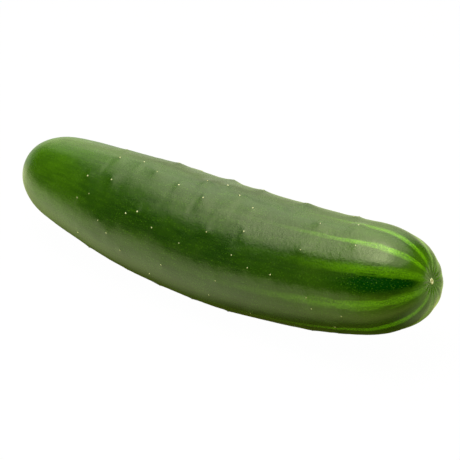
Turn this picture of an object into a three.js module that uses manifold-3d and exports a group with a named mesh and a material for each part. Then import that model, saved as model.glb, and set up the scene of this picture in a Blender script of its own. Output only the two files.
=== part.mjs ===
// A slicing cucumber lying on its belly, in millimetres, +Z up.
//
// The fruit lies along X with the blossom end toward +X. Its skin is a body of revolution that is
// then bent: "along" is the distance from the middle of its axis, and "around" is the angle about
// the axis, 0 at the top of the fruit and a quarter turn on its -Y side.

import * as THREE from 'three';
import { mergeVertices } from 'three/addons/utils/BufferGeometryUtils.js';
import Module from 'manifold-3d';

const wasm = await Module();
wasm.setup();

// Body: its length along the axis, its thickest radius, and how the radius changes from one end
// to the other (skew, thinning toward both ends, fuller shoulders at the blossom end).
const LENGTH = 206;
const RADIUS = 25.8;
const SKEW = 0.031;
const THINNING = 0.341;
const SHOULDERS = 0.085;
const STEM_END = { length: 23.5, power: 2.33 };
const BLOSSOM_END = { length: 28.4, power: 2.6 };

// Bend: both ends rise, the blossom end more, and the middle bows toward -Y.
const RISE = 8.6;
const TILT = 6.0;
const RISE_WAVE = -6.9;
const SIDE_BOW = -4.1;
const SIDE_WAVE = 2.5;

// Section: three blunt corners, and ribs that show only near the blossom end.
const CORNERS = 3;
const CORNER_SHARE = 0.02;
const RIBS = 11;
const RIB_TURN = 0.77;
const RIB_HEIGHT = 0.3;
const RIB_REACH = 60;

// Broad shallow hollows and swellings of the skin.
const SWELL_HEIGHT = 0.35;

// Spines: small nubs on low humps, scattered more thickly toward the stem end.
const SPINE_COUNT = 84;
const SPINE_SEED = 2046280430;
const SPINE_TRIES = 3;
const SPINE_CROWDING = 1.5;
const SPINE_FIRST = -56;
const SPINE_LAST = 80;
const HUMP_HEIGHT = { low: 0.15, high: 0.95 };
const HUMP_WIDTH = 3.6;
const NUB_RADIUS = 0.8;
const NUB_SUNK = 0.5;

// The humps stand out on the upper back, about this place around the fruit, and are faint elsewhere.
const CREST = { around: -0.45, spread: 0.9 };
const FIRST_SHARE = 0.5;

// The radius of the skin where the spines grow, for distances measured over it.
const SPINY_RADIUS = 25;

// Blossom end: a shallow puckered dimple round the ring scar that the flower left.
const DIMPLE = { depth: 0.9, radius: 4.6 };
const SCAR_RING = { height: 0.35, radius: 1.15, width: 0.42 };
const PUCKERS = 17;
const PUCKER = { height: 0.14, radius: 4.2, spread: 1.9 };

// Stem end: a sunken collar round the dry five-sided stub of the stem.
const COLLAR = { depth: 1.7, radius: 7.5 };
const STUB = { height: 1.8, radius: 3.3, slope: 0.5, cup: 0.5 };
const STUB_SIDES = 5;
const STUB_SIDE_SHARE = 0.09;

// The flat spot that the fruit rests on, under its weight. The skin is smooth round it.
const REST_DEPTH = 0.4;
const REST_ALONG = 4;
const REST_SMOOTH = 20;

// Fineness of the skin.
const SEGMENTS = 56;
const END_ROWS = 17;
const END_BUNCHING = 1.6;
const BODY_ROWS = 42;

const HALF = LENGTH / 2;
const TURN = Math.PI * 2;
const GOLDEN_STEP = 0.618;

function bell(distance, width) {
  return Math.exp(-((distance / width) ** 2));
}

// How far an end has rounded over, 0 at the tip and 1 where the body takes over.
function rounding(distance, end) {
  if (distance >= end.length) {
    return 1;
  }
  return (1 - (1 - Math.max(distance, 0) / end.length) ** end.power) ** (1 / end.power);
}

function radiusAt(along) {
  const t = along / HALF;
  const body = 1 + SKEW * t - THINNING * t ** 2 + SHOULDERS * t ** 3;
  return RADIUS * body * rounding(HALF + along, STEM_END) * rounding(HALF - along, BLOSSOM_END);
}

function centreAt(along) {
  const t = along / HALF;
  const wave = t - t ** 3;
  return new THREE.Vector3(
    along,
    SIDE_BOW * (1 - t ** 2) + SIDE_WAVE * wave,
    RISE * t ** 2 + TILT * t + RISE_WAVE * wave,
  );
}

// The directions at a place on the bent axis: along it, to its -Y side and to its top.
function axisFrame(along) {
  const step = 0.01;
  const forward = centreAt(along + step).sub(centreAt(along - step)).normalize();
  const side = forward.clone().cross(new THREE.Vector3(0, 0, 1)).normalize();
  const top = side.clone().cross(forward);
  return { forward, side, top };
}

// Distances along the axis, close together where the ends round over.
function stations() {
  const list = [];
  const inset = (row, end) => {
    const turn = (Math.PI / 2) * (row / END_ROWS) ** END_BUNCHING;
    return end.length * (1 - Math.cos(turn) ** (2 / end.power));
  };
  for (let row = 0; row <= END_ROWS; row += 1) {
    list.push(-HALF + inset(row, STEM_END));
  }
  const start = -HALF + STEM_END.length;
  const finish = HALF - BLOSSOM_END.length;
  for (let row = 1; row < BODY_ROWS; row += 1) {
    list.push(THREE.MathUtils.lerp(start, finish, row / BODY_ROWS));
  }
  for (let row = END_ROWS; row >= 0; row -= 1) {
    list.push(HALF - inset(row, BLOSSOM_END));
  }
  return list;
}

// How far the skin stands in or out along the axis at the blossom end.
function blossomRelief(radius, around) {
  const dimple = -DIMPLE.depth * bell(radius, DIMPLE.radius);
  const ring = SCAR_RING.height * bell(radius - SCAR_RING.radius, SCAR_RING.width);
  const pucker = PUCKER.height * bell(radius - PUCKER.radius, PUCKER.spread) * Math.cos(PUCKERS * around);
  return dimple + ring + pucker;
}

// The same at the stem end, counted outward.
function stemRelief(radius, around) {
  const collar = -COLLAR.depth * bell(radius, COLLAR.radius);
  const edge = STUB.radius * (1 + STUB_SIDE_SHARE * Math.cos(STUB_SIDES * around));
  const rise = 1 - THREE.MathUtils.smoothstep(radius, edge - STUB.slope, edge + STUB.slope);
  return collar + STUB.height * rise - STUB.cup * bell(radius, STUB.radius / 2);
}

// A seeded draw between 0 and 1, by the minimal standard generator.
function seededDraw(seed) {
  const multiplier = 16807;
  const modulus = 2147483647;
  let state = seed;
  return () => {
    state = (state * multiplier) % modulus;
    return state / modulus;
  };
}

// The spines' places and the heights of their humps. Each place is the loneliest of a few tries.
function spinePlaces() {
  const draw = seededDraw(SPINE_SEED);
  const places = [];
  for (let i = 0; i < SPINE_COUNT; i += 1) {
    let best = null;
    for (let attempt = 0; attempt < SPINE_TRIES; attempt += 1) {
      const along = SPINE_FIRST + (SPINE_LAST - SPINE_FIRST) * draw() ** SPINE_CROWDING;
      const around = TURN * draw();
      const gap = Math.min(...places.map((place) => skinDistance(place, along, around)), LENGTH);
      if (best === null || gap > best.gap) {
        best = { along, around, gap };
      }
    }
    const share = (FIRST_SHARE + i * GOLDEN_STEP) % 1;
    const crest = bell(turnBetween(best.around, CREST.around), CREST.spread);
    best.hump = THREE.MathUtils.lerp(HUMP_HEIGHT.low, HUMP_HEIGHT.high, share * crest);
    places.push(best);
  }
  return places;
}

// The angle between two places around the fruit, the shorter way.
function turnBetween(around, otherAround) {
  const turned = Math.abs(around - otherAround) % TURN;
  return Math.min(turned, TURN - turned);
}

// Distance over the skin from a spine to a point.
function skinDistance(place, along, around) {
  return Math.hypot(along - place.along, SPINY_RADIUS * turnBetween(place.around, around));
}

const spines = spinePlaces();
const restPlace = { along: REST_ALONG, around: Math.PI };

// The height of the skin over the plain body: corners, ribs, swellings and humps.
function skinHeight(along, around) {
  const radius = radiusAt(along);
  const fullness = radius / RADIUS;
  const corners = CORNER_SHARE * radius * Math.cos(CORNERS * around);
  const ribFade = bell(HALF - along, RIB_REACH) * fullness;
  const ribs = RIB_HEIGHT * ribFade * Math.cos(RIBS * (around - RIB_TURN));
  const swell =
    Math.sin(along / 13 + 2 * Math.sin(around)) * Math.cos(2 * around + along / 29) +
    Math.sin(along / 8.5 - 1.3 * Math.cos(around + 1)) * Math.cos(3 * around - along / 37);
  let relief = 0.5 * SWELL_HEIGHT * swell * fullness;
  for (const spine of spines) {
    relief += spine.hump * bell(skinDistance(spine, along, around), HUMP_WIDTH);
  }
  const smoothed = bell(skinDistance(restPlace, along, around), REST_SMOOTH);
  return corners + ribs + relief * (1 - smoothed);
}

// The point of the skin at a place along and around the fruit, lifted off it or sunk into it.
function skinPoint(along, around, lift = 0) {
  const radius = radiusAt(along);
  const { forward, side, top } = axisFrame(along);
  let relief = 0;
  if (along > HALF - BLOSSOM_END.length) {
    relief = blossomRelief(radius, around);
  } else if (along < STEM_END.length - HALF) {
    relief = -stemRelief(radius, around);
  }
  const reach = radius + skinHeight(along, around) + lift;
  return centreAt(along)
    .addScaledVector(top, reach * Math.cos(around))
    .addScaledVector(side, reach * Math.sin(around))
    .addScaledVector(forward, relief);
}

// The skin as one closed surface: a turned body, each of whose points is moved to its own place.
function skinSurface() {
  const profile = stations().map((along) => new THREE.Vector2(radiusAt(along), along));
  const surface = new THREE.LatheGeometry(profile, SEGMENTS);
  const position = surface.getAttribute('position');
  for (let i = 0; i < position.count; i += 1) {
    const around = Math.atan2(position.getX(i), position.getZ(i));
    const point = skinPoint(position.getY(i), around);
    position.setXYZ(i, point.x, point.y, point.z);
  }
  return surface;
}

function spineNub(spine) {
  const nub = new THREE.IcosahedronGeometry(NUB_RADIUS);
  const { x, y, z } = skinPoint(spine.along, spine.around, -NUB_SUNK);
  return nub.translate(x, y, z);
}

// A block under the fruit that takes off its lowest sliver.
function restBlock(lowest) {
  const block = new THREE.BoxGeometry(LENGTH, LENGTH, LENGTH);
  return block.translate(0, 0, lowest + REST_DEPTH - HALF);
}

function toSolid(geometry) {
  geometry.deleteAttribute('normal');
  geometry.deleteAttribute('uv');
  const merged = mergeVertices(geometry);
  const vertProperties = new Float32Array(merged.getAttribute('position').array);
  const triVerts = new Uint32Array(merged.getIndex().array);
  return new wasm.Manifold(new wasm.Mesh({ numProp: 3, vertProperties, triVerts }));
}

function toGeometry(solid) {
  const { vertProperties, triVerts } = solid.getMesh();
  const geometry = new THREE.BufferGeometry();
  geometry.setAttribute('position', new THREE.BufferAttribute(vertProperties, 3));
  geometry.setIndex(new THREE.BufferAttribute(triVerts, 1));
  return geometry;
}

// The whole fruit, its rest spot on z = 0 and the middle of its outline over the origin.
function cucumberGeometry() {
  const surface = skinSurface();
  surface.computeBoundingBox();
  const lowest = surface.boundingBox.min.z;
  let solid = toSolid(surface);
  for (const spine of spines) {
    solid = solid.add(toSolid(spineNub(spine)));
  }
  const geometry = toGeometry(solid.subtract(toSolid(restBlock(lowest))));
  geometry.computeBoundingBox();
  const { min, max } = geometry.boundingBox;
  geometry.translate(-(min.x + max.x) / 2, -(min.y + max.y) / 2, -min.z);
  geometry.computeVertexNormals();
  return geometry;
}

const skin = new THREE.MeshStandardMaterial({ color: 0x2d5a0e, roughness: 0.4, metalness: 0 });
const cucumber = new THREE.Mesh(cucumberGeometry(), skin);
cucumber.name = 'cucumber';

const fruit = new THREE.Group();
fruit.add(cucumber);

export default fruit;
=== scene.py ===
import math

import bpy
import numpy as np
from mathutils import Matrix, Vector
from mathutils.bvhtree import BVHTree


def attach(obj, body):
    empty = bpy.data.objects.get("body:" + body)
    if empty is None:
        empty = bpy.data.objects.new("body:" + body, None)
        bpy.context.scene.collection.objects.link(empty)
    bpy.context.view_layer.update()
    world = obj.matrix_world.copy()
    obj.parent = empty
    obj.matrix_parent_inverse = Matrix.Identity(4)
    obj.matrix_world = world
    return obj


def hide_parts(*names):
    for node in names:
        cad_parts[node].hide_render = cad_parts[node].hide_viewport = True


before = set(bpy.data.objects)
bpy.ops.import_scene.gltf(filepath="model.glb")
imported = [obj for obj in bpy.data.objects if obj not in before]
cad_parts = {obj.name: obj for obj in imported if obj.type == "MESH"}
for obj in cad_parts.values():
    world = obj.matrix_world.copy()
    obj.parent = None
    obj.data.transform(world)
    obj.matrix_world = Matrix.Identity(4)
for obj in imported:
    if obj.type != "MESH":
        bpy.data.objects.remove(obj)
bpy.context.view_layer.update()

# A slicing cucumber lying on a pale studio table, in metres.
#
# "along" is the distance from the middle of the fruit's axis, positive toward the blossom end.
# "around" is the angle about the axis: 0 at the top, a quarter turn on the side that faces -Y.
# "travelled" is the distance over the skin from the blossom end's pole.

# ---------------------------------------------------------------- the fruit's sizes

# Body: its length along the axis, its thickest radius, and how the radius changes from one end to
# the other: skew, thinning toward both ends, fuller shoulders at the blossom end. Each end rounds
# over within a length, by a power.
LENGTH = 0.206
RADIUS = 0.0258
SKEW = 0.031
THINNING = 0.341
SHOULDERS = 0.085
STEM_END = (0.0235, 2.33)
BLOSSOM_END = (0.0284, 2.6)

# Bend: both ends rise, the blossom end more, and the middle bows toward -Y.
RISE = 0.0086
TILT = 0.0060
RISE_WAVE = -0.0069
SIDE_BOW = -0.0041
SIDE_WAVE = 0.0025

# Section: three blunt corners, and ribs that show only near the blossom end.
CORNERS = 3
CORNER_SHARE = 0.02
RIBS = 11
RIB_TURN = 0.77
RIB_HEIGHT = 0.0003
RIB_REACH = 0.060

# Broad shallow swellings, by a long wave and a short one: the length that sets how soon each comes
# and goes, the length over which it winds round the fruit, and how far it wanders.
SWELL_HEIGHT = 0.00035
LONG_SWELL = (0.013, 0.029, 2.0)
SHORT_SWELL = (0.0085, 0.037, 1.3)

# Spines: scattered more thickly toward the stem end, on low humps. The humps stand out on the
# upper back, about the crest, and are faint elsewhere.
SPINE_COUNT = 84
SPINE_SEED = 2046280430
SPINE_TRIES = 3
SPINE_CROWDING = 1.5
SPINE_FIRST = -0.056
SPINE_LAST = 0.080
HUMP_LOW = 0.00015
HUMP_HIGH = 0.00095
HUMP_WIDTH = 0.0036
CREST_AROUND = -0.45
CREST_SPREAD = 0.9
FIRST_SHARE = 0.5

# Each spine has a steep little foot, and a shallow fold beside it: how deep at the most, its size
# along and around, and how far off it lies along, and at the most around.
FOOT_HEIGHT = 0.00012
FOOT_WIDTH = 0.0015
FOLD_DEPTH = 0.00012
FOLD_SIZE = (0.0016, 0.0065)
FOLD_OFFSET = (0.0022, 0.0060)

# Blossom end: a shallow puckered dimple round the scar that the flower left.
DIMPLE_DEPTH = 0.0009
DIMPLE_RADIUS = 0.0046
PUCKERS = 17
PUCKER_HEIGHT = 0.00009
PUCKER_RADIUS = 0.0042
PUCKER_SPREAD = 0.0019

# Stem end: a sunken collar round the dry stub of the stem.
COLLAR_DEPTH = 0.0017
COLLAR_RADIUS = 0.0075

# The flat spot that the fruit rests on. The skin is smooth round it.
REST_DEPTH = 0.0004
REST_ALONG = 0.004
REST_SMOOTH = 0.020

# The radius of the skin for distances measured over it.
MEAN_RADIUS = 0.025

HALF = LENGTH / 2
TURN = 2 * math.pi
GOLDEN_STEP = 0.618
AXIS_STEP = 0.00001

# ---------------------------------------------------------------- the fruit's form


def bell(distance, width):
    return np.exp(-((distance / width) ** 2))


def even_share(i, steps=1):
    """A share between 0 and 1 for the spine with this number, spread evenly over them all."""
    return i * GOLDEN_STEP * steps % 1


def rounding(distance, end):
    """How far an end has rounded over: 0 at its tip, 1 where the body takes over."""
    length, power = end
    share = np.clip(distance / length, 0.0, 1.0)
    return (1 - (1 - share) ** power) ** (1 / power)


def radius_at(along):
    t = along / HALF
    body = 1 + SKEW * t - THINNING * t**2 + SHOULDERS * t**3
    return RADIUS * body * rounding(HALF + along, STEM_END) * rounding(HALF - along, BLOSSOM_END)


def centre_at(along):
    t = along / HALF
    wave = t - t**3
    side = SIDE_BOW * (1 - t**2) + SIDE_WAVE * wave
    height = RISE * t**2 + TILT * t + RISE_WAVE * wave
    return np.stack([along, side, height], axis=-1)


def axis_frame(along):
    """The directions along the bent axis, to its -Y side and to its top."""
    forward = centre_at(along + AXIS_STEP) - centre_at(along - AXIS_STEP)
    forward /= np.linalg.norm(forward, axis=-1, keepdims=True)
    side = np.cross(forward, (0.0, 0.0, 1.0))
    side /= np.linalg.norm(side, axis=-1, keepdims=True)
    return forward, side, np.cross(side, forward)


def turn_between(around, other_around):
    """The angle between two places around the fruit, the shorter way."""
    turned = np.abs(around - other_around) % TURN
    return np.minimum(turned, TURN - turned)


def skin_distance(along, around, other_along, other_around):
    return np.hypot(along - other_along, MEAN_RADIUS * turn_between(around, other_around))


def seeded_draws(seed):
    """Endless draws between 0 and 1, by the minimal standard generator."""
    multiplier = 16807
    modulus = 2147483647
    state = seed
    while True:
        state = state * multiplier % modulus
        yield state / modulus


def spine_places():
    """Where each spine grows and how high its hump is: the loneliest of a few tries each time."""
    draws = seeded_draws(SPINE_SEED)
    places = []
    for i in range(SPINE_COUNT):
        best = None
        for _ in range(SPINE_TRIES):
            along = SPINE_FIRST + (SPINE_LAST - SPINE_FIRST) * next(draws) ** SPINE_CROWDING
            around = TURN * next(draws)
            gaps = [float(skin_distance(along, around, p[0], p[1])) for p in places]
            gap = min(gaps + [LENGTH])
            if best is None or gap > best[2]:
                best = (along, around, gap)
        share = (FIRST_SHARE + i * GOLDEN_STEP) % 1
        crest = float(bell(turn_between(best[1], CREST_AROUND), CREST_SPREAD))
        hump = HUMP_LOW + (HUMP_HIGH - HUMP_LOW) * share * crest
        places.append((best[0], best[1], hump))
    return places


SPINES = spine_places()


def blossom_relief(radius, around):
    """How far the skin stands in or out along the axis at the blossom end."""
    dimple = -DIMPLE_DEPTH * bell(radius, DIMPLE_RADIUS)
    pucker = PUCKER_HEIGHT * bell(radius - PUCKER_RADIUS, PUCKER_SPREAD) * np.cos(PUCKERS * around)
    return dimple + pucker


def stem_relief(radius):
    """The same at the stem end, counted outward."""
    return -COLLAR_DEPTH * bell(radius, COLLAR_RADIUS)


def humps_at(along, around):
    height = np.zeros_like(along)
    for spine_along, spine_around, hump in SPINES:
        height += hump * bell(skin_distance(along, around, spine_along, spine_around), HUMP_WIDTH)
    return height


def folds_at(along, around):
    """The feet of the spines, less the folds beside them."""
    height = np.zeros_like(along)
    for i, (spine_along, spine_around, _) in enumerate(SPINES):
        height += FOOT_HEIGHT * bell(skin_distance(along, around, spine_along, spine_around), FOOT_WIDTH)
        depth = FOLD_DEPTH * even_share(i)
        side = 1 if i % 2 else -1
        down = FOLD_OFFSET[1] * even_share(i, 3)
        across = bell(along - spine_along - side * FOLD_OFFSET[0], FOLD_SIZE[0])
        turned = MEAN_RADIUS * turn_between(around, spine_around + down / MEAN_RADIUS)
        height -= depth * across * bell(turned, FOLD_SIZE[1])
    return height


def swell_at(along, around):
    length, winding, wander = LONG_SWELL
    long_wave = np.sin(along / length + wander * np.sin(around)) * np.cos(2 * around + along / winding)
    length, winding, wander = SHORT_SWELL
    short_wave = np.sin(along / length - wander * np.cos(around + 1)) * np.cos(3 * around - along / winding)
    return 0.5 * SWELL_HEIGHT * (long_wave + short_wave)


def skin_height(along, around):
    """The height of the skin over the plain body: corners, ribs, swellings and humps."""
    radius = radius_at(along)
    fullness = radius / RADIUS
    corners = CORNER_SHARE * radius * np.cos(CORNERS * around)
    rib_fade = bell(HALF - along, RIB_REACH) * fullness
    ribs = RIB_HEIGHT * rib_fade * np.cos(RIBS * (around - RIB_TURN))
    relief = swell_at(along, around) * fullness + humps_at(along, around)
    smoothed = bell(skin_distance(along, around, REST_ALONG, math.pi), REST_SMOOTH)
    return corners + ribs + relief * (1 - smoothed)


def skin_points(along, around, lift=0.0):
    """The places of the skin, before the fruit is set down on the table, lifted where asked."""
    along = np.asarray(along, dtype=float)
    around = np.asarray(around, dtype=float)
    radius = radius_at(along)
    forward, side, top = axis_frame(along)
    relief = np.where(along > HALF - BLOSSOM_END[0], blossom_relief(radius, around), 0.0)
    relief = np.where(along < STEM_END[0] - HALF, -stem_relief(radius), relief)
    reach = radius + skin_height(along, around) + lift
    return (
        centre_at(along)
        + top * (reach * np.cos(around))[..., None]
        + side * (reach * np.sin(around))[..., None]
        + forward * relief[..., None]
    )


# ---------------------------------------------------------------- modelling steps


def deselect():
    if bpy.context.object and bpy.context.object.mode != "OBJECT":
        bpy.ops.object.mode_set(mode="OBJECT")
    bpy.ops.object.select_all(action="DESELECT")


def pick(piece):
    deselect()
    piece.select_set(True)
    bpy.context.view_layer.objects.active = piece


def vertex_places(piece):
    places = np.empty(len(piece.data.vertices) * 3)
    piece.data.vertices.foreach_get("co", places)
    return places.reshape(-1, 3)


def place_vertices(piece, places):
    piece.data.vertices.foreach_set("co", np.ascontiguousarray(places, dtype=np.float32).ravel())
    piece.data.update()


def select_where(piece, test):
    """In edit mode, selects the vertices whose place passes the test, and the faces between them."""
    pick(piece)
    bpy.ops.object.mode_set(mode="EDIT")
    bpy.ops.mesh.select_mode(type="VERT")
    bpy.ops.mesh.select_all(action="DESELECT")
    bpy.ops.object.mode_set(mode="OBJECT")
    for vertex in piece.data.vertices:
        vertex.select = bool(test(vertex.co))
    bpy.ops.object.mode_set(mode="EDIT")


def step_top_in(piece, steps):
    """Insets the top face again and again, each time by a width and up or down by a rise."""
    select_where(piece, lambda place: place.z > 0)
    for width, rise in steps:
        bpy.ops.mesh.inset(thickness=width, depth=rise)
    bpy.ops.object.mode_set(mode="OBJECT")


def store(piece, name, values):
    """Keeps a number, or a vector, with each vertex for the material to read."""
    flat = np.asarray(values, dtype=np.float32)
    if flat.ndim == 1:
        layer = piece.data.attributes.new(name, "FLOAT", "POINT")
        layer.data.foreach_set("value", flat)
    else:
        layer = piece.data.attributes.new(name, "FLOAT_VECTOR", "POINT")
        layer.data.foreach_set("vector", flat.ravel())


def apply_modifiers(piece):
    pick(piece)
    for modifier in list(piece.modifiers):
        bpy.ops.object.modifier_apply(modifier=modifier.name)


def round_over(piece, levels):
    """Rounds the edges of a piece by subdividing it."""
    modifier = piece.modifiers.new("rounding", "SUBSURF")
    modifier.levels = levels
    modifier.render_levels = levels


def roughen(piece, name, grain, height):
    """Raises and sinks the surface by a cloudy pattern of the given grain size."""
    pattern = bpy.data.textures.new(name, "CLOUDS")
    pattern.noise_scale = grain
    pattern.noise_depth = 2
    modifier = piece.modifiers.new(name, "DISPLACE")
    modifier.texture = pattern
    modifier.texture_coords = "LOCAL"
    modifier.strength = height
    modifier.mid_level = 0.5


def surface_seat(tree, point):
    """The nearest place on the skin and the way out of it."""
    place, normal, _, _ = tree.find_nearest(point)
    return place, normal


def set_on_pole(piece, skin, shift, along, turn_to):
    """Carries a piece modelled round the origin, facing up, to one of the fruit's two tips."""
    tree = BVHTree.FromObject(skin, bpy.context.evaluated_depsgraph_get())
    place, _ = surface_seat(tree, Vector(skin_points(along, 0.0)) + shift)
    forward = Vector(axis_frame(np.array([along]))[0][0]) * turn_to
    turn = forward.to_track_quat("Z", "Y").to_matrix().to_4x4()
    piece.data.transform(Matrix.Translation(place) @ turn)


def dress(piece, material):
    piece.data.materials.clear()
    piece.data.materials.append(material)
    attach(piece, "root")
    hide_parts("cucumber")


# ---------------------------------------------------------------- materials

# The range of a cloudy pattern over which two tints are mixed.
TINT_RANGE = (0.35, 0.65)


class Finish:
    """A material being mixed: each call adds one step and hands back its result."""

    def __init__(self, name):
        self.material = bpy.data.materials.new(name)
        self.material.use_nodes = True
        self.tree = self.material.node_tree
        self.surface = self.tree.nodes["Principled BSDF"]

    def plug(self, socket, value):
        if isinstance(value, bpy.types.NodeSocket):
            self.tree.links.new(value, socket)
        elif isinstance(value, (tuple, list)) and len(value) == 3 and len(socket.default_value) == 4:
            socket.default_value = (*value, 1.0)
        else:
            socket.default_value = value

    def attribute(self, name, output="Fac"):
        node = self.tree.nodes.new("ShaderNodeAttribute")
        node.attribute_name = name
        return node.outputs[output]

    def object_place(self):
        return self.tree.nodes.new("ShaderNodeTexCoord").outputs["Object"]

    def parts(self, vector):
        """The parts of a vector, under the names X, Y and Z."""
        node = self.tree.nodes.new("ShaderNodeSeparateXYZ")
        self.plug(node.inputs[0], vector)
        return node.outputs

    def length(self, vector, reach):
        """Distance from the origin over the floor, counted in reaches along X and Y."""
        node = self.tree.nodes.new("ShaderNodeVectorMath")
        node.operation = "LENGTH"
        self.plug(node.inputs[0], self.stretched(vector, (1 / reach[0], 1 / reach[1], 0.0)))
        return node.outputs["Value"]

    def shifted(self, vector, step):
        node = self.tree.nodes.new("ShaderNodeVectorMath")
        self.plug(node.inputs[0], vector)
        node.inputs[1].default_value = step
        return node.outputs["Vector"]

    def stretched(self, vector, factors):
        node = self.tree.nodes.new("ShaderNodeVectorMath")
        node.operation = "MULTIPLY"
        self.plug(node.inputs[0], vector)
        node.inputs[1].default_value = factors
        return node.outputs["Vector"]

    def noise(self, vector, grain, detail=3.0):
        """A cloudy pattern, its grain size in metres."""
        node = self.tree.nodes.new("ShaderNodeTexNoise")
        self.plug(node.inputs["Vector"], vector)
        node.inputs["Scale"].default_value = 1.0 / grain
        node.inputs["Detail"].default_value = detail
        node.inputs["Roughness"].default_value = 0.55
        return node.outputs["Fac"]

    def cells(self, vector, grain):
        """Distance from the middle of the nearest of many scattered cells."""
        node = self.tree.nodes.new("ShaderNodeTexVoronoi")
        self.plug(node.inputs["Vector"], vector)
        node.inputs["Scale"].default_value = 1.0 / grain
        return node.outputs["Distance"]

    def math(self, operation, first, second=0.0, third=0.0):
        node = self.tree.nodes.new("ShaderNodeMath")
        node.operation = operation
        self.plug(node.inputs[0], first)
        self.plug(node.inputs[1], second)
        self.plug(node.inputs[2], third)
        return node.outputs["Value"]

    def times(self, first, second):
        return self.math("MULTIPLY", first, second)

    def scaled(self, value, factor, plus):
        return self.math("MULTIPLY_ADD", value, factor, plus)

    def rise(self, value, low, high, top=1.0):
        """0 below low, top above high, and a smooth step between; low may be the greater."""
        node = self.tree.nodes.new("ShaderNodeMapRange")
        node.interpolation_type = "SMOOTHSTEP"
        self.plug(node.inputs["Value"], value)
        node.inputs["From Min"].default_value = low
        node.inputs["From Max"].default_value = high
        node.inputs["To Max"].default_value = top
        return node.outputs["Result"]

    def mix(self, share, first, second):
        node = self.tree.nodes.new("ShaderNodeMix")
        node.data_type = "RGBA"
        self.plug(node.inputs["Factor"], share)
        self.plug(node.inputs[6], first)
        self.plug(node.inputs[7], second)
        return node.outputs[2]

    def bump(self, height, depth, normal=None):
        node = self.tree.nodes.new("ShaderNodeBump")
        node.inputs["Strength"].default_value = 1.0
        node.inputs["Distance"].default_value = depth
        self.plug(node.inputs["Height"], height)
        if normal is not None:
            self.plug(node.inputs["Normal"], normal)
        return node.outputs["Normal"]


# ---------------------------------------------------------------- the skin

# How fine the skin is. Its rings crowd together toward the poles, within the reach.
SKIN_SEGMENTS = 256
SKIN_RINGS = 380
PROFILE_STEPS = 20000
POLE_CROWDING = 3.0
POLE_REACH = 0.006

# The cloudy relief of the skin: grain size and height.
SKIN_DENTS = (0.0130, 0.00024)
SKIN_RIPPLES = (0.0040, 0.00010)
SKIN_GRAIN = (0.0012, 0.00006)

# The stripes run from the blossom scar: degrees around, half their width at full girth, how
# bright they are, and how far over the skin they stay so.
STRIPES = (
    (-2.0, 0.0015, 0.52, 0.025),
    (24.0, 0.0014, 0.64, 0.032),
    (53.0, 0.0026, 0.37, 0.031),
    (90.5, 0.0024, 0.43, 0.042),
    (126.0, 0.0015, 0.70, 0.040),
    (160.0, 0.0024, 0.50, 0.040),
    (194.0, 0.0014, 0.75, 0.030),
    (228.0, 0.0027, 0.45, 0.045),
    (262.0, 0.0013, 0.80, 0.028),
    (296.0, 0.0024, 0.50, 0.040),
    (328.0, 0.0014, 0.55, 0.030),
)

# Their width follows the fruit's girth, down to the least radius. Past their start they fade and
# narrow, and a faint tail of them reaches twice as far. They are free of the scar by two distances.
STRIPE_START = 0.015
STRIPE_TAIL = 0.14
STRIPE_NARROWEST = 0.45
STRIPE_TAPER = 1.3
STRIPE_LEAST_RADIUS = 0.0004
STRIPE_FREE = (0.0025, 0.0085)

# Between the stripes the skin is darkest here: degrees around, and how dark.
SHADED_GAPS = (
    (11.0, 0.15),
    (38.0, 0.10),
    (67.0, 1.10),
    (108.0, 0.20),
    (143.0, 0.45),
    (177.0, 0.40),
    (211.0, 0.50),
    (245.0, 0.80),
    (279.0, 0.45),
    (312.0, 0.60),
    (343.0, 0.25),
)
GAP_SPREAD = 0.23
GAP_MIDDLE = 0.022
GAP_LENGTH = 0.023
GAP_FREE = (0.004, 0.012)

# Greens of the skin. In each pair the first is for the deepest tone and the second for the palest.
MIDDLE_GREENS = ((0.0062, 0.0235, 0.001), (0.0128, 0.0385, 0.001))
STEM_END_GREENS = ((0.0235, 0.068, 0.001), (0.036, 0.098, 0.001))
BLOSSOM_END_GREENS = ((0.0155, 0.0435, 0.001), (0.0225, 0.058, 0.001))
STRIPE_GREENS = ((0.108, 0.310, 0.0005), (0.168, 0.415, 0.001))
POLE_GREEN = (0.050, 0.135, 0.002)
# Painted shade: the darker green laid into the fine grain's hollows.
HOLLOW_PAINTED_SHADE = (0.008, 0.040, 0.0)
GAP_GREEN = (0.0003, 0.020, 0.0)
FLECK_GREEN = (0.060, 0.150, 0.004)

# Where over the skin each stretch of it begins, and where it is complete.
STEM_END_STRETCH = (0.140, 0.215)
BLOSSOM_END_STRETCH = (0.085, 0.030)
POLE_STRETCH = (0.020, 0.004)
LEATHERY_STRETCH = (0.130, 0.040)
TIGHT_STRETCH = (0.034, 0.012)

# The skin's patterns: grain sizes, and how each is drawn out along the fruit and around it.
BLOTCH_SIZE = 0.016
STREAK_SIZE = 0.0016
STREAK_FACTORS = (0.16, 1.0, 1.0)
GRAIN_SIZE = 0.0007
FLECK_SIZE = 0.0008
FLECK_FACTORS = (0.7, 1.0, 1.0)
WRINKLE_SIZE = 0.0016
WRINKLE_FACTORS = (1.2, 0.9, 0.9)
WAX_SIZE = 0.004

# Body: the range of the patterns that counts as tone and as hollow, how much painted shade the
# hollows take, how frayed the dark gaps are, and the range of their shade.
TONE_RANGE = (0.36, 0.64)
HOLLOW_SHADE_RANGE = (0.60, 0.30)
HOLLOW_SHADE_SHARE = 0.30
GAP_FRAYING = 0.72
GAP_RANGE = (0.12, 0.95)

# Stripes: how far streaks and grain fray the edge, the edge from outside to inside, in half widths
# before fraying, and the patches in them: their grain, their range, and strength at least and more.
STRIPE_FRAYING = 3.2
STRIPE_GRAIN = 0.7
STRIPE_EDGE = (1.75, 0.75)
STRIPE_TINT_RANGE = (0.35, 0.70)
PATCH_GRAIN = 0.8
PATCH_RANGE = (0.66, 1.06)
PATCH_STRENGTH = (0.52, 0.90)

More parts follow.
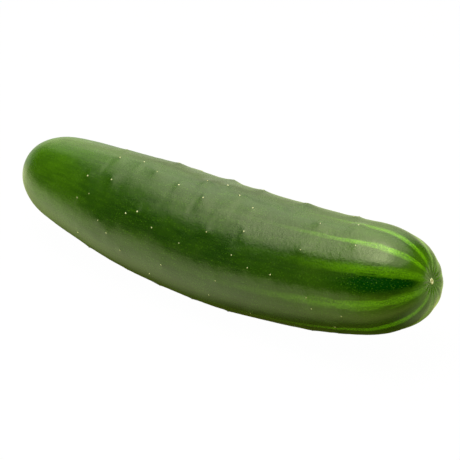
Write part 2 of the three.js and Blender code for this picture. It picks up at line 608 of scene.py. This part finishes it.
# Flecks: their edge, the streaks where they grow, and how much they show, at least and more.
FLECK_EDGE = (0.36, 0.14)
FLECK_RANGE = (0.37, 0.61)
FLECK_SHARE = (0.38, 0.26)

# The wax: its roughness at least and more, how much smoother it is in the dark gaps, how strongly
# it reflects, and in what tint.
WAX_ROUGHNESS = (0.20, 0.12)
WAX_SMOOTHING = 0.45
WAX_IOR = 1.50
WAX_TINT = (0.94, 1.0, 0.70, 1.0)

# Wrinkles: their depth, how much of it shows at least and more where the skin is leathery, and how
# much of that is lost where it is tight. The grain lies over them.
WRINKLE_DEPTH = 0.00013
LEATHERY_SHARE = (0.15, 0.85)
TIGHT_LOSS = 0.7
GRAIN_DEPTH = 0.00004


def skin_rows():
    """Distance along the axis and over the skin for each ring, from the blossom end's pole."""
    along = HALF * np.cos(np.linspace(0.0, math.pi, PROFILE_STEPS + 1))
    radius = radius_at(along)
    step = np.hypot(np.diff(along), np.diff(radius))
    middle = (radius[1:] + radius[:-1]) / 2
    travelled = np.concatenate([[0.0], np.cumsum(step)])
    shares = np.concatenate([[0.0], np.cumsum(step * (1 + POLE_CROWDING * bell(middle, POLE_REACH)))])
    wanted = np.linspace(0.0, shares[-1], SKIN_RINGS + 1)
    return np.interp(wanted, shares, along), np.interp(wanted, shares, travelled)


def clear_of_scar(travelled, free):
    """0 from the blossom scar to the first distance, then rising to 1 at the second."""
    return np.clip((travelled - free[0]) / (free[1] - free[0]), 0.0, 1.0)


def stripe_marks(around, travelled, radius):
    """For each point, its distance from the nearest stripe in half widths, and how strong it is."""
    gap = np.full_like(around, np.inf)
    show = np.zeros_like(around)
    girth = np.sqrt(np.maximum(radius, STRIPE_LEAST_RADIUS) / MEAN_RADIUS)
    past = np.maximum(travelled - STRIPE_START, 0.0)
    for degrees, half_width, brightness, reach in STRIPES:
        narrowing = STRIPE_NARROWEST + (1 - STRIPE_NARROWEST) * bell(past, STRIPE_TAPER * reach)
        half_angle = half_width / MEAN_RADIUS / girth * narrowing
        here = turn_between(around, math.radians(degrees)) / half_angle
        strength = (1 - STRIPE_TAIL) * bell(past, reach) + STRIPE_TAIL * bell(past, 2 * reach)
        nearer = here < gap
        gap = np.where(nearer, here, gap)
        show = np.where(nearer, brightness * strength, show)
    return gap, show * clear_of_scar(travelled, STRIPE_FREE)


def gap_shade(around, travelled):
    """How deep the green is between two stripes."""
    shade = np.zeros_like(around)
    for degrees, depth in SHADED_GAPS:
        across = bell(turn_between(around, math.radians(degrees)), GAP_SPREAD)
        shade += depth * across * bell(travelled - GAP_MIDDLE, GAP_LENGTH)
    return shade * clear_of_scar(travelled, GAP_FREE)


def mark_skin(skin, along, around, travelled):
    """Keeps with the skin what its material reads: places over the skin, stripes and dark gaps."""
    turned = (MEAN_RADIUS * np.cos(around), MEAN_RADIUS * np.sin(around))
    gap, show = stripe_marks(around, travelled, radius_at(along))
    store(skin, "grown", np.stack([travelled, *turned], axis=-1))
    store(skin, "stripe_gap", gap)
    store(skin, "stripe_show", show)
    store(skin, "gap_shade", gap_shade(around, travelled))
    store(skin, "travelled", travelled)


def build_skin():
    """The skin, set down on the table, and the step that carried it there."""
    deselect()
    bpy.ops.mesh.primitive_uv_sphere_add(segments=SKIN_SEGMENTS, ring_count=SKIN_RINGS, radius=1.0)
    skin = bpy.context.object
    skin.name = "cucumber_skin"
    ball = vertex_places(skin)
    ring = np.rint(np.arccos(np.clip(ball[:, 2], -1, 1)) / math.pi * SKIN_RINGS).astype(int)
    around = np.arctan2(ball[:, 1], ball[:, 0])
    row_along, row_travelled = skin_rows()
    along = row_along[ring]
    places = skin_points(along, around, folds_at(along, around))
    low = places.min(axis=0)
    middle = (low + places.max(axis=0)) / 2
    shift = np.array([-middle[0], -middle[1], -low[2] - REST_DEPTH])
    place_vertices(skin, places + shift)
    mark_skin(skin, along, around, row_travelled[ring])

    roughen(skin, "skin_dents", *SKIN_DENTS)
    roughen(skin, "skin_ripples", *SKIN_RIPPLES)
    roughen(skin, "skin_grain", *SKIN_GRAIN)
    apply_modifiers(skin)

    select_where(skin, lambda place: place.z < 0.0)
    bpy.ops.transform.resize(value=(1.0, 1.0, 0.0), center_override=(0.0, 0.0, 0.0))
    bpy.ops.object.mode_set(mode="OBJECT")
    bpy.ops.object.shade_smooth()
    return skin, Vector(shift)


def body_green(finish, travelled, tone, grain):
    """The green between the stripes, by tone and by stretch of the fruit, with painted shade in the
    hollows.
    """
    body = finish.mix(tone, *MIDDLE_GREENS)
    stem_end = finish.rise(travelled, *STEM_END_STRETCH)
    body = finish.mix(stem_end, body, finish.mix(tone, *STEM_END_GREENS))
    blossom_end = finish.rise(travelled, *BLOSSOM_END_STRETCH)
    body = finish.mix(blossom_end, body, finish.mix(tone, *BLOSSOM_END_GREENS))
    body = finish.mix(finish.rise(travelled, *POLE_STRETCH), body, POLE_GREEN)
    # Painted shade: a darker green where the fine grain of the bump sinks.
    painted_hollow_shade = finish.rise(grain, *HOLLOW_SHADE_RANGE)
    return finish.mix(finish.times(painted_hollow_shade, HOLLOW_SHADE_SHARE), body, HOLLOW_PAINTED_SHADE)


def add_stripes(finish, body, streaks, grain):
    """Lays the stripes over the body's green, frayed at their edges and patchy inside."""
    edge = finish.math("ADD", finish.attribute("stripe_gap"), -STRIPE_FRAYING / 2)
    edge = finish.scaled(streaks, STRIPE_FRAYING, edge)
    inside = finish.rise(finish.scaled(grain, STRIPE_GRAIN, edge), *STRIPE_EDGE)
    patches = finish.rise(finish.scaled(grain, PATCH_GRAIN, streaks), *PATCH_RANGE)
    least, more = PATCH_STRENGTH
    strength = finish.times(finish.attribute("stripe_show"), finish.scaled(patches, more, least))
    green = finish.mix(finish.rise(grain, *STRIPE_TINT_RANGE), *STRIPE_GREENS)
    return finish.mix(finish.times(inside, strength), body, green)


def add_flecks(finish, colour, grown, streaks, deep):
    """Lays pale flecks over all, which show most in the dark gaps."""
    flecks = finish.cells(finish.stretched(grown, FLECK_FACTORS), FLECK_SIZE)
    speck = finish.times(finish.rise(flecks, *FLECK_EDGE), finish.rise(streaks, *FLECK_RANGE))
    least, more = FLECK_SHARE
    return finish.mix(finish.times(speck, finish.scaled(deep, more, least)), colour, FLECK_GREEN)


def wax_roughness(finish, grown, deep):
    least, more = WAX_ROUGHNESS
    roughness = finish.scaled(finish.noise(grown, WAX_SIZE), more, least)
    return finish.times(roughness, finish.scaled(deep, -WAX_SMOOTHING, 1.0))


def skin_wrinkles(finish, grown, travelled, grain):
    """Wrinkles, leathery toward the blossom end but tight round its pole, under a fine grain."""
    wrinkles = finish.noise(finish.stretched(grown, WRINKLE_FACTORS), WRINKLE_SIZE)
    least, more = LEATHERY_SHARE
    leathery = finish.scaled(finish.rise(travelled, *LEATHERY_STRETCH), more, least)
    tight = finish.rise(travelled, *TIGHT_STRETCH)
    leathery = finish.times(leathery, finish.scaled(tight, -TIGHT_LOSS, 1.0))
    normal = finish.bump(finish.times(wrinkles, leathery), WRINKLE_DEPTH)
    return finish.bump(grain, GRAIN_DEPTH, normal)


def mix_skin():
    finish = Finish("cucumber_skin")
    grown = finish.attribute("grown", "Vector")
    travelled = finish.attribute("travelled")
    blotches = finish.noise(grown, BLOTCH_SIZE, detail=2.0)
    streaks = finish.noise(finish.stretched(grown, STREAK_FACTORS), STREAK_SIZE, detail=4.0)
    grain = finish.noise(grown, GRAIN_SIZE, detail=2.0)
    tone = finish.rise(finish.scaled(streaks, 0.5, finish.times(blotches, 0.5)), *TONE_RANGE)
    frayed = finish.scaled(finish.math("ADD", streaks, grain), GAP_FRAYING, -GAP_FRAYING)
    deep = finish.rise(finish.math("ADD", frayed, finish.attribute("gap_shade")), *GAP_RANGE)

    colour = finish.mix(deep, body_green(finish, travelled, tone, grain), GAP_GREEN)
    colour = add_stripes(finish, colour, streaks, grain)
    colour = add_flecks(finish, colour, grown, streaks, deep)
    finish.plug(finish.surface.inputs["Base Color"], colour)
    finish.plug(finish.surface.inputs["Roughness"], wax_roughness(finish, grown, deep))
    finish.plug(finish.surface.inputs["Normal"], skin_wrinkles(finish, grown, travelled, grain))
    finish.surface.inputs["IOR"].default_value = WAX_IOR
    finish.surface.inputs["Specular Tint"].default_value = WAX_TINT
    return finish.material


# ---------------------------------------------------------------- the spine tips

# A tip is a small button on a thin dark foot. Each step goes in from the edge by a width, then up or
# down by a rise: the foot's top, the button's side, and the dimple where the spine snapped.
TIP_EDGES = 12
TIP_RADIUS = 0.00055
TIP_CORE = 0.00029
TIP_RIM = 0.00005
TIP_HEIGHT = 0.00020
TIP_STEPS = (
    (TIP_RADIUS - TIP_CORE, 0.0),
    (0.15 * TIP_CORE, TIP_HEIGHT),
    (0.35 * TIP_CORE, -0.25 * TIP_HEIGHT),
)
TIP_SUNK = 0.00004

# The tips' sizes, the smallest and how much larger they get. Those set lower than this, on the
# rest spot, are left out.
TIP_SMALLEST = 0.70
TIP_VARIETY = 0.45
TIP_LOWEST = 0.0004

# The button's dark and pale tints, and the foot's green, which starts past the button's radius.
TIP_GRAIN = 0.0012
TIP_BUTTON_TINTS = ((0.32, 0.31, 0.14), (0.58, 0.56, 0.36))
TIP_FOOT_GREEN = (0.010, 0.036, 0.001)
TIP_FOOT_RANGE = (0.95, 1.30)


def model_spine_tip():
    """One broken-off spine: a small round button on a thin dark foot, dimpled where it snapped."""
    deselect()
    bpy.ops.mesh.primitive_cylinder_add(vertices=TIP_EDGES, radius=TIP_RADIUS, depth=2 * TIP_RIM)
    tip = bpy.context.object
    tip.name = "spine_tips"
    step_top_in(tip, TIP_STEPS)
    round_over(tip, 1)
    apply_modifiers(tip)
    places = vertex_places(tip)
    store(tip, "tip_reach", np.hypot(places[:, 0], places[:, 1]) / TIP_CORE)
    bpy.ops.object.shade_smooth()
    return tip


def build_spine_tips(skin, shift):
    tree = BVHTree.FromObject(skin, bpy.context.evaluated_depsgraph_get())
    pattern = model_spine_tip()
    copies = []
    for i, (along, around, _) in enumerate(SPINES):
        place, normal = surface_seat(tree, Vector(skin_points(along, around)) + shift)
        if place.z < TIP_LOWEST:
            continue
        size = TIP_SMALLEST + TIP_VARIETY * even_share(i)
        turn = normal.to_track_quat("Z", "Y").to_matrix().to_4x4()
        grow = Matrix.Diagonal((size, size, size, 1.0))
        copy = pattern.copy()
        copy.data = pattern.data.copy()
        copy.data.transform(Matrix.Translation(place - normal * TIP_SUNK) @ turn @ grow)
        bpy.context.collection.objects.link(copy)
        copies.append(copy)
    bpy.data.objects.remove(pattern)
    deselect()
    for copy in copies:
        copy.select_set(True)
    bpy.context.view_layer.objects.active = copies[0]
    bpy.ops.object.join()
    tips = bpy.context.object
    tips.name = "spine_tips"
    return tips


def mix_spine_tip():
    finish = Finish("spine_tip")
    tint = finish.noise(finish.object_place(), TIP_GRAIN, detail=1.0)
    button = finish.mix(finish.rise(tint, *TINT_RANGE), *TIP_BUTTON_TINTS)
    foot = finish.rise(finish.attribute("tip_reach"), *TIP_FOOT_RANGE)
    finish.plug(finish.surface.inputs["Base Color"], finish.mix(foot, button, TIP_FOOT_GREEN))
    finish.surface.inputs["Roughness"].default_value = 0.45
    return finish.material


# ---------------------------------------------------------------- the blossom scar

# The scar is an oval ring round a sunken pit: both are modelled round, then drawn out in width,
# height and depth. The pit's top goes down and up again in two steps of a width and a rise.
SCAR_STRETCH = (0.84, 1.08, 0.80)
SCAR_RING_RADIUS = 0.00084
SCAR_RING_THICKNESS = 0.00038
SCAR_RING_LUMPS = (0.0007, 0.00012)
SCAR_PIT_RADIUS = 0.00060
SCAR_PIT_DEPTH = 0.0005
SCAR_PIT_STEPS = (
    (0.45 * SCAR_PIT_RADIUS, -0.00012),
    (0.25 * SCAR_PIT_RADIUS, 0.00016),
)
SCAR_PIT_LUMPS = (0.0005, 0.00012)

# Dark and pale tints of the two, the grain in which they mix, and how deep it is for its size.
SCAR_RING_TINTS = ((0.80, 0.75, 0.46), (0.95, 0.92, 0.66))
SCAR_RING_GRAIN = 0.0007
SCAR_PIT_TINTS = ((0.16, 0.11, 0.03), (0.45, 0.36, 0.13))
SCAR_PIT_GRAIN = 0.0005
SCAR_BUMP_SHARE = 0.12


def stretch_scar(piece):
    """Draws a round piece of the scar out into an oval, taller than it is wide."""
    pick(piece)
    bpy.ops.object.mode_set(mode="EDIT")
    bpy.ops.mesh.select_all(action="SELECT")
    bpy.ops.transform.resize(value=SCAR_STRETCH, center_override=(0.0, 0.0, 0.0))
    bpy.ops.object.mode_set(mode="OBJECT")


def build_scar_ring(skin, shift):
    deselect()
    bpy.ops.mesh.primitive_torus_add(
        major_radius=SCAR_RING_RADIUS,
        minor_radius=SCAR_RING_THICKNESS,
        major_segments=40,
        minor_segments=14,
    )
    ring = bpy.context.object
    ring.name = "blossom_scar_ring"
    stretch_scar(ring)
    roughen(ring, "scar_lumps", *SCAR_RING_LUMPS)
    apply_modifiers(ring)
    bpy.ops.object.shade_smooth()
    set_on_pole(ring, skin, shift, HALF, 1.0)
    return ring


def build_scar_pit(skin, shift):
    deselect()
    bpy.ops.mesh.primitive_cylinder_add(vertices=32, radius=SCAR_PIT_RADIUS, depth=SCAR_PIT_DEPTH)
    pit = bpy.context.object
    pit.name = "blossom_scar_pit"
    step_top_in(pit, SCAR_PIT_STEPS)
    stretch_scar(pit)
    round_over(pit, 2)
    roughen(pit, "pit_lumps", *SCAR_PIT_LUMPS)
    apply_modifiers(pit)
    bpy.ops.object.shade_smooth()
    set_on_pole(pit, skin, shift, HALF, 1.0)
    return pit


def mix_scar(name, tints, grain):
    finish = Finish(name)
    tint = finish.noise(finish.object_place(), grain)
    finish.plug(finish.surface.inputs["Base Color"], finish.mix(finish.rise(tint, *TINT_RANGE), *tints))
    finish.surface.inputs["Roughness"].default_value = 0.65
    finish.plug(finish.surface.inputs["Normal"], finish.bump(tint, grain * SCAR_BUMP_SHARE))
    return finish.material


# ---------------------------------------------------------------- the stem stub

# The dry end of the stem: blunt sides, narrower at the top, and a cut face stepped down inside a
# corky rim, each step by a width and a rise.
STUB_EDGES = 60
STUB_RADIUS = 0.0033
STUB_HEIGHT = 0.0030
STUB_SIDES = 5
STUB_SIDE_SHARE = 0.09
STUB_TAPER = 0.12
STUB_CUP = 0.0006
STUB_STEPS = (
    (0.14 * STUB_RADIUS, 0.0),
    (0.10 * STUB_RADIUS, -STUB_CUP),
    (0.30 * STUB_RADIUS, 0.35 * STUB_CUP),
    (0.22 * STUB_RADIUS, -0.5 * STUB_CUP),
)
STUB_LUMPS = (0.0016, 0.0005)
STUB_FIBRES = (0.0004, 0.00018)

# The cut stem's two tints, mixed by a cloud, and brown fibres over them: the range of the fibre
# pattern in which they show, and how much.
STUB_CLOUD_SIZE = 0.0022
STUB_FIBRE_SIZE = 0.0005
STUB_FIBRE_FACTORS = (0.3, 1.0, 1.0)
STUB_FIBRE_DEPTH = 0.00015
STUB_FIBRE_RANGE = (0.55, 0.75, 0.6)
STUB_TINTS = ((0.16, 0.20, 0.06), (0.42, 0.36, 0.17))
STUB_FIBRE_BROWN = (0.09, 0.07, 0.03)


def build_stem_stub(skin, shift):
    deselect()
    bpy.ops.mesh.primitive_cylinder_add(vertices=STUB_EDGES, radius=STUB_RADIUS, depth=STUB_HEIGHT)
    stub = bpy.context.object
    stub.name = "stem_stub"
    places = vertex_places(stub)
    around = np.arctan2(places[:, 1], places[:, 0])
    lobes = 1 + STUB_SIDE_SHARE * np.cos(STUB_SIDES * around)
    taper = 1.0 - STUB_TAPER * (places[:, 2] > 0)
    places[:, 0] *= lobes * taper
    places[:, 1] *= lobes * taper
    place_vertices(stub, places)
    step_top_in(stub, STUB_STEPS)
    round_over(stub, 2)
    roughen(stub, "stub_lumps", *STUB_LUMPS)
    roughen(stub, "stub_fibres", *STUB_FIBRES)
    apply_modifiers(stub)
    bpy.ops.object.shade_smooth()
    set_on_pole(stub, skin, shift, -HALF, -1.0)
    return stub


def mix_stub():
    finish = Finish("stem_stub")
    place = finish.object_place()
    cloud = finish.noise(place, STUB_CLOUD_SIZE, detail=4.0)
    fibre = finish.noise(finish.stretched(place, STUB_FIBRE_FACTORS), STUB_FIBRE_SIZE)
    colour = finish.mix(finish.rise(cloud, *TINT_RANGE), *STUB_TINTS)
    colour = finish.mix(finish.rise(fibre, *STUB_FIBRE_RANGE), colour, STUB_FIBRE_BROWN)
    finish.plug(finish.surface.inputs["Base Color"], colour)
    finish.surface.inputs["Roughness"].default_value = 0.8
    finish.plug(finish.surface.inputs["Normal"], finish.bump(fibre, STUB_FIBRE_DEPTH))
    return finish.material


# ---------------------------------------------------------------- the table

TABLE_SIZE = 24.0
TABLE_WHITE = (0.86, 0.86, 0.85, 1.0)
TABLE_ROUGHNESS = 0.9
TABLE_GLOW = 0.99

# The table's painted glow, standing in for the light it gives back to the fruit: a painted pool of
# light beside its stem half, greener in front of it, less farther out and behind it, and a painted
# shadow, next to none, under it.
PAINTED_POOL_GLOW = (1.62, 1.74, 1.08)
FRONT_PAINTED_GLOW = (1.14, 1.32, 0.34)
FAR_PAINTED_GLOW = (0.58, 0.86, 0.08)
BACK_PAINTED_GLOW = (0.95, 1.05, 0.53)
STEM_BACK_PAINTED_GLOW = (0.66, 0.74, 0.52)
UNDER_PAINTED_SHADOW = (0.11, 0.13, 0.015)

# Ovals on the table, by their reaches along X and Y, and between how many reaches each one fades.
# The oval of painted shadow under the fruit, where the glow falls to next to none.
PAINTED_SHADOW_SHIFT = (-0.025, 0.0, 0.0)
PAINTED_SHADOW_OVAL = (0.171, 0.031)
PAINTED_SHADOW_FADE = (0.58, 1.45)
# The oval of the painted pool of light beside the stem half.
PAINTED_POOL_OVAL = (0.165, 0.110)
PAINTED_POOL_FADE = (2.8, 0.5)
NEAR_OVAL = (0.4, 0.4)
NEAR_FADE = (1.1, 0.5)

# Edges across the table, each from where its side begins to where it is complete.
STEM_SIDE_X = (0.10, 0.0)
FRONT_Y = (-0.12, -0.05)
BACK_Y = (0.03, 0.08)
BEYOND_X = (0.095, 0.125)
BEYOND_Y = (-0.03, 0.0)
STEM_BACK_X = (-0.110, -0.135)
STEM_BACK_Y = (0.015, 0.045)


def painted_table_glow(finish):
    """The painted glow of each place on the table, standing in for the light it gives back to the fruit."""
    place = finish.object_place()
    parts = finish.parts(place)
    x = parts["X"]
    y = parts["Y"]
    # Painted shadow: the glow fades to next to none in an oval under the fruit.
    clear_of_painted_shadow = finish.rise(finish.length(finish.shifted(place, PAINTED_SHADOW_SHIFT), PAINTED_SHADOW_OVAL), *PAINTED_SHADOW_FADE)
    near = finish.times(clear_of_painted_shadow, finish.rise(finish.length(place, NEAR_OVAL), *NEAR_FADE))
    in_front = finish.mix(finish.rise(y, *FRONT_Y), FAR_PAINTED_GLOW, FRONT_PAINTED_GLOW)
    painted_glow = finish.mix(near, UNDER_PAINTED_SHADOW, in_front)
    # Painted pool of light beside the stem half.
    pale = finish.rise(finish.length(place, PAINTED_POOL_OVAL), *PAINTED_POOL_FADE)
    pale = finish.times(finish.times(pale, finish.rise(x, *STEM_SIDE_X)), clear_of_painted_shadow)
    painted_glow = finish.mix(pale, painted_glow, PAINTED_POOL_GLOW)
    beyond = finish.times(finish.rise(x, *BEYOND_X), finish.rise(y, *BEYOND_Y))
    behind = finish.math("MAXIMUM", finish.rise(y, *BACK_Y), beyond)
    painted_glow = finish.mix(behind, painted_glow, BACK_PAINTED_GLOW)
    stem_back = finish.times(finish.rise(x, *STEM_BACK_X), finish.rise(y, *STEM_BACK_Y))
    return finish.mix(stem_back, painted_glow, STEM_BACK_PAINTED_GLOW)


def build_floor():
    """A white sweep that the camera sees almost as bright as its lamps, with a faint shadow; all other rays
    see its painted glow.
    """
    deselect()
    bpy.ops.mesh.primitive_plane_add(size=TABLE_SIZE)
    floor = bpy.context.object
    floor.name = "table"
    finish = Finish("pale_table")
    finish.surface.inputs["Base Color"].default_value = TABLE_WHITE
    finish.surface.inputs["Roughness"].default_value = TABLE_ROUGHNESS
    glow = finish.tree.nodes.new("ShaderNodeEmission")
    seen = finish.tree.nodes.new("ShaderNodeLightPath").outputs["Is Camera Ray"]
    blend = finish.tree.nodes.new("ShaderNodeMixShader")
    # Rays other than the camera's see the painted glow, with its painted light and painted shadow.
    finish.plug(glow.inputs["Color"], finish.mix(seen, painted_table_glow(finish), (1.0, 1.0, 1.0)))
    finish.plug(blend.inputs[0], finish.scaled(seen, TABLE_GLOW - 1.0, 1.0))
    finish.plug(blend.inputs[1], finish.surface.outputs[0])
    finish.plug(blend.inputs[2], glow.outputs[0])
    finish.plug(finish.tree.nodes["Material Output"].inputs["Surface"], blend.outputs[0])
    floor.data.materials.append(finish.material)


# ---------------------------------------------------------------- the lamps and the camera

LAMP_TINT = (0.96, 1.0, 0.78)
WALL_TINT = (1.0, 0.93, 0.70)
AIR_GLOW = (0.02, 0.02, 0.01, 1.0)
AIR_WHITE = (1.0, 1.0, 1.0, 1.0)

# Level panels over the table: place in X and Y, size, brightness and turn in degrees. They lie
# close over one another and add up, so their light is brightest in the middle and fades outward.
PANEL_HEIGHT = 0.45
LEVEL_PANELS = (
    ("softbox_core", (0.035, -0.075), (0.15, 0.17), 8.5, 0.0),
    ("softbox_glow", (-0.035, -0.095), (0.24, 0.13), 3.5, 5.0),
    ("softbox_middle", (-0.04, -0.10), (0.20, 0.20), 5.6, 10.0),
    ("softbox_wide", (-0.06, -0.13), (0.28, 0.28), 4.6, 20.0),
    ("softbox_right", (0.235, 0.05), (0.13, 0.50), 2.2, 0.0),
    ("softbox", (0.01, -0.080), (0.36, 0.46), 3.2, 0.0),
    ("softbox_spill", (-0.12, -0.28), (0.42, 0.26), 2.2, 20.0),
    ("softbox_edge", (-0.13, 0.125), (0.54, 0.55), 1.6, 0.0),
)

# Panels behind the fruit: degrees round and up, distance, size, brightness and tint.
BACK_PANELS = (
    ("back_softbox", (-158.0, 50.0), 1.0, (1.0, 1.0), 0.70, LAMP_TINT),
    ("back_spill", (-138.0, 50.0), 1.0, (1.2, 1.0), 0.80, LAMP_TINT),
    ("lit_wall", (-152.0, 10.0), 1.2, (1.5, 0.80), 0.5, WALL_TINT),
    ("wall_spill", (-145.0, 10.0), 1.2, (1.7, 0.80), 0.45, WALL_TINT),
)

CAMERA_AZIMUTH = 35.97
CAMERA_ELEVATION = 30.15
CAMERA_DISTANCE = 0.70
CAMERA_LENS = 130.24
CAMERA_SENSOR = 36.0
CAMERA_SHIFT = (0.0279, 0.0111)


def way_toward(azimuth, elevation):
    """A direction from the fruit: degrees round from -Y toward +X, and degrees up."""
    azimuth = math.radians(azimuth)
    elevation = math.radians(elevation)
    flat = math.cos(elevation)
    return Vector((math.sin(azimuth) * flat, -math.cos(azimuth) * flat, math.sin(elevation)))


def soft_panel(name, place, aim, size, radiance, tint=LAMP_TINT, turn=0.0):
    """A soft panel facing the aim, its brightness given as seen from there."""
    panel = bpy.data.lights.new(name, "AREA")
    panel.shape = "RECTANGLE"
    panel.size, panel.size_y = size
    panel.color = tint
    panel.energy = radiance * math.pi * size[0] * size[1]
    light = bpy.data.objects.new(name, panel)
    light.location = place
    light.rotation_euler = (place - aim).to_track_quat("Z", "Y").to_euler()
    light.rotation_euler.z += math.radians(turn)
    bpy.context.collection.objects.link(light)


def build_air():
    """The studio's own air: white where the camera sees it, and next to no light of its own."""
    world = bpy.data.worlds.new("studio_air")
    world.use_nodes = True
    nodes = world.node_tree.nodes
    seen = nodes.new("ShaderNodeLightPath").outputs["Is Camera Ray"]
    blend = nodes.new("ShaderNodeMix")
    blend.data_type = "RGBA"
    blend.inputs[6].default_value = AIR_GLOW
    blend.inputs[7].default_value = AIR_WHITE
    world.node_tree.links.new(seen, blend.inputs["Factor"])
    world.node_tree.links.new(blend.outputs[2], nodes["Background"].inputs["Color"])
    bpy.context.scene.world = world


def build_studio(target):
    down = Vector((0.0, 0.0, -1.0))
    for name, (x, y), size, radiance, turn in LEVEL_PANELS:
        place = Vector((x, y, PANEL_HEIGHT))
        soft_panel(name, place, place + down, size, radiance, turn=turn)
    for name, way, distance, size, radiance, tint in BACK_PANELS:
        soft_panel(name, target + distance * way_toward(*way), target, size, radiance, tint)
    build_air()


def build_camera(target):
    back = way_toward(CAMERA_AZIMUTH, CAMERA_ELEVATION)
    lens = bpy.data.cameras.new("camera")
    lens.sensor_width = CAMERA_SENSOR
    lens.lens = CAMERA_LENS
    lens.shift_x, lens.shift_y = CAMERA_SHIFT
    camera = bpy.data.objects.new("camera", lens)
    camera.location = target + back * CAMERA_DISTANCE
    camera.rotation_euler = back.to_track_quat("Z", "Y").to_euler()
    bpy.context.collection.objects.link(camera)
    bpy.context.scene.camera = camera


# ---------------------------------------------------------------- the scene

skin, shift = build_skin()
dress(skin, mix_skin())
dress(build_spine_tips(skin, shift), mix_spine_tip())
ring_finish = mix_scar("blossom_scar", SCAR_RING_TINTS, SCAR_RING_GRAIN)
dress(build_scar_ring(skin, shift), ring_finish)
pit_finish = mix_scar("blossom_scar_pit", SCAR_PIT_TINTS, SCAR_PIT_GRAIN)
dress(build_scar_pit(skin, shift), pit_finish)
dress(build_stem_stub(skin, shift), mix_stub())

build_floor()
build_studio(shift)
build_camera(shift)
bpy.context.scene.view_settings.view_transform = "Standard"
